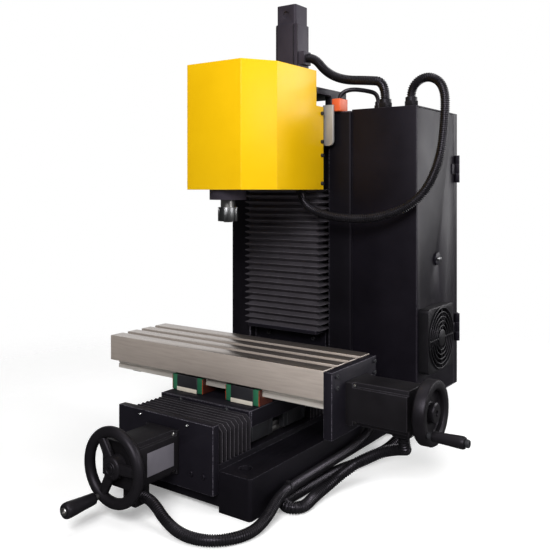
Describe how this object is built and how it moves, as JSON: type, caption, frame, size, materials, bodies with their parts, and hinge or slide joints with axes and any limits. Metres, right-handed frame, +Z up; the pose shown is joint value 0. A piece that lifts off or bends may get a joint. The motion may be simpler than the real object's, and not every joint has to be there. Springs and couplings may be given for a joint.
{
  "type": "benchtop cnc mill",
  "caption": "Benchtop CNC milling machine with a cast base and column, T-slot table on crossed slides, covered milling head, handwheels and a control cabinet.",
  "frame": {"origin": "centre of the base's bolt pattern, on the bench", "axes": "+X to the operator's right along the table, +Y to the back towards the column, +Z up"},
  "size_m": [0.5875, 0.6205, 0.723],
  "materials": {
    "cast_paint": "satin black paint on a casting",
    "plate_paint": "satin black paint",
    "cabinet_paint": "black textured powder coat",
    "cover_yellow": "satin yellow paint",
    "table_steel": "ground top",
    "ground_steel": "ground",
    "dark_steel": "dark steel",
    "bright_steel": "bright",
    "motor_case": "matt dark grey",
    "bellows_sheet": "matt dark grey",
    "hinge_black": "black",
    "module_metal": "satin",
    "black_plastic": "matt black",
    "sensor_orange": "orange-red",
    "conduit_black": "ribbed black",
    "cap_green": "green",
    "striker_grey": "plain sheet",
    "wheel_black": "gloss black",
    "grip_black": "gloss black"
  },
  "bodies": {
    "base": {"base_casting": "cast_paint", "column": "cast_paint", "y_motor_plate": "plate_paint", "y_motor": "motor_case", "guide_rails": "ground_steel", "screw_bearings": "dark_steel", "y_bellows": "bellows_sheet", "z_bellows": "bellows_sheet", "bellows_bracket": "plate_paint", "z_motor_bracket": "plate_paint", "z_motor": "motor_case", "cabinet_body": "cabinet_paint", "cabinet_hinges": "hinge_black", "control_modules": "module_metal", "cable_glands": "black_plastic", "limit_sensor": "sensor_orange", "z_motor_conduit": "conduit_black", "y_motor_conduit": "conduit_black", "head_conduit": "conduit_black", "sensor_cable": "conduit_black", "x_conduit_lower": "conduit_black"},
    "saddle": {"saddle": "plate_paint", "saddle_front_plate": "plate_paint", "guide_blocks": "dark_steel", "guide_caps": "cap_green", "ball_nuts": "ground_steel", "x_conduit_upper": "conduit_black"},
    "table": {"table": "table_steel", "x_rails": "ground_steel", "x_end_plate": "plate_paint", "x_motor": "motor_case", "x_bearings": "dark_steel"},
    "head": {"head_plate": "plate_paint", "z_blocks": "dark_steel", "z_nut": "ground_steel", "spindle_housing": "cast_paint", "spindle_motor": "motor_case", "head_cover": "cover_yellow", "striker": "striker_grey", "head_gland": "black_plastic"},
    "spindle": {"spindle_shaft": "ground_steel", "collet_nut": "bright_steel", "collet": "ground_steel"},
    "y_drive": {"y_screw": "ground_steel", "y_handwheel": "wheel_black"},
    "y_crank_grip": {"y_grip": "grip_black"},
    "x_drive": {"x_screw": "ground_steel", "x_handwheel": "wheel_black"},
    "x_crank_grip": {"x_grip": "grip_black"},
    "z_drive": {"z_screw": "ground_steel", "z_coupling": "module_metal"},
    "door": {"cabinet_door": "cabinet_paint", "door_hinges": "hinge_black", "fan_frame": "black_plastic", "fan_guard": "hinge_black"},
    "lock": {"door_lock": "bright_steel"},
    "fan": {"fan_rotor": "black_plastic"}
  },
  "joints": [
    {"name": "y_slide", "type": "slide", "parent": "base", "child": "saddle", "axis": [0, 1, 0], "range_m": [-0.05, 0.04], "deforming": ["y_bellows", "x_conduit_lower"]},
    {"name": "x_slide", "type": "slide", "parent": "saddle", "child": "table", "axis": [1, 0, 0], "range_m": [-0.07, 0.11], "deforming": ["x_conduit_upper"]},
    {"name": "z_slide", "type": "slide", "parent": "base", "child": "head", "axis": [0, 0, 1], "range_m": [-0.16, 0.01], "deforming": ["z_bellows", "head_conduit"]},
    {"name": "spindle_spin", "type": "hinge", "parent": "head", "child": "spindle", "pos_m": [0, -0.105, 0.4], "axis": [0, 0, 1], "continuous": true},
    {"name": "y_turn", "type": "hinge", "parent": "base", "child": "y_drive", "pos_m": [0, -0.2, 0.07], "axis": [0, 1, 0], "range_deg": [-2882, 3602]},
    {"name": "y_grip_spin", "type": "hinge", "parent": "y_drive", "child": "y_crank_grip", "pos_m": [-0.02066, -0.36, 0.03115], "axis": [0, 1, 0], "continuous": true},
    {"name": "x_turn", "type": "hinge", "parent": "table", "child": "x_drive", "pos_m": [0, -0.0795, 0.131], "axis": [1, 0, 0], "range_deg": [-5042, 7922]},
    {"name": "x_grip_spin", "type": "hinge", "parent": "x_drive", "child": "x_crank_grip", "pos_m": [0.35, -0.10927, 0.11167], "axis": [1, 0, 0], "continuous": true},
    {"name": "z_turn", "type": "hinge", "parent": "base", "child": "z_drive", "pos_m": [0, 0.0675, 0.4], "axis": [0, 0, 1], "range_deg": [-722, 11522]},
    {"name": "door_hinge", "type": "hinge", "parent": "base", "child": "door", "pos_m": [0.234, 0.212, 0.3], "axis": [0, 0, 1], "range_deg": [0, 110]},
    {"name": "lock_turn", "type": "hinge", "parent": "door", "child": "lock", "pos_m": [0.23, 0.134, 0.306], "axis": [1, 0, 0], "range_deg": [0, 90]},
    {"name": "fan_spin", "type": "hinge", "parent": "door", "child": "fan", "pos_m": [0.24, 0.115, 0.186], "axis": [1, 0, 0], "continuous": true}
  ],
  "couplings": [
    {"joint": "y_turn", "follows": "y_slide", "rad_per_m": -1256.6},
    {"joint": "x_turn", "follows": "x_slide", "rad_per_m": 1256.6},
    {"joint": "z_turn", "follows": "z_slide", "rad_per_m": -1256.6}
  ]
}
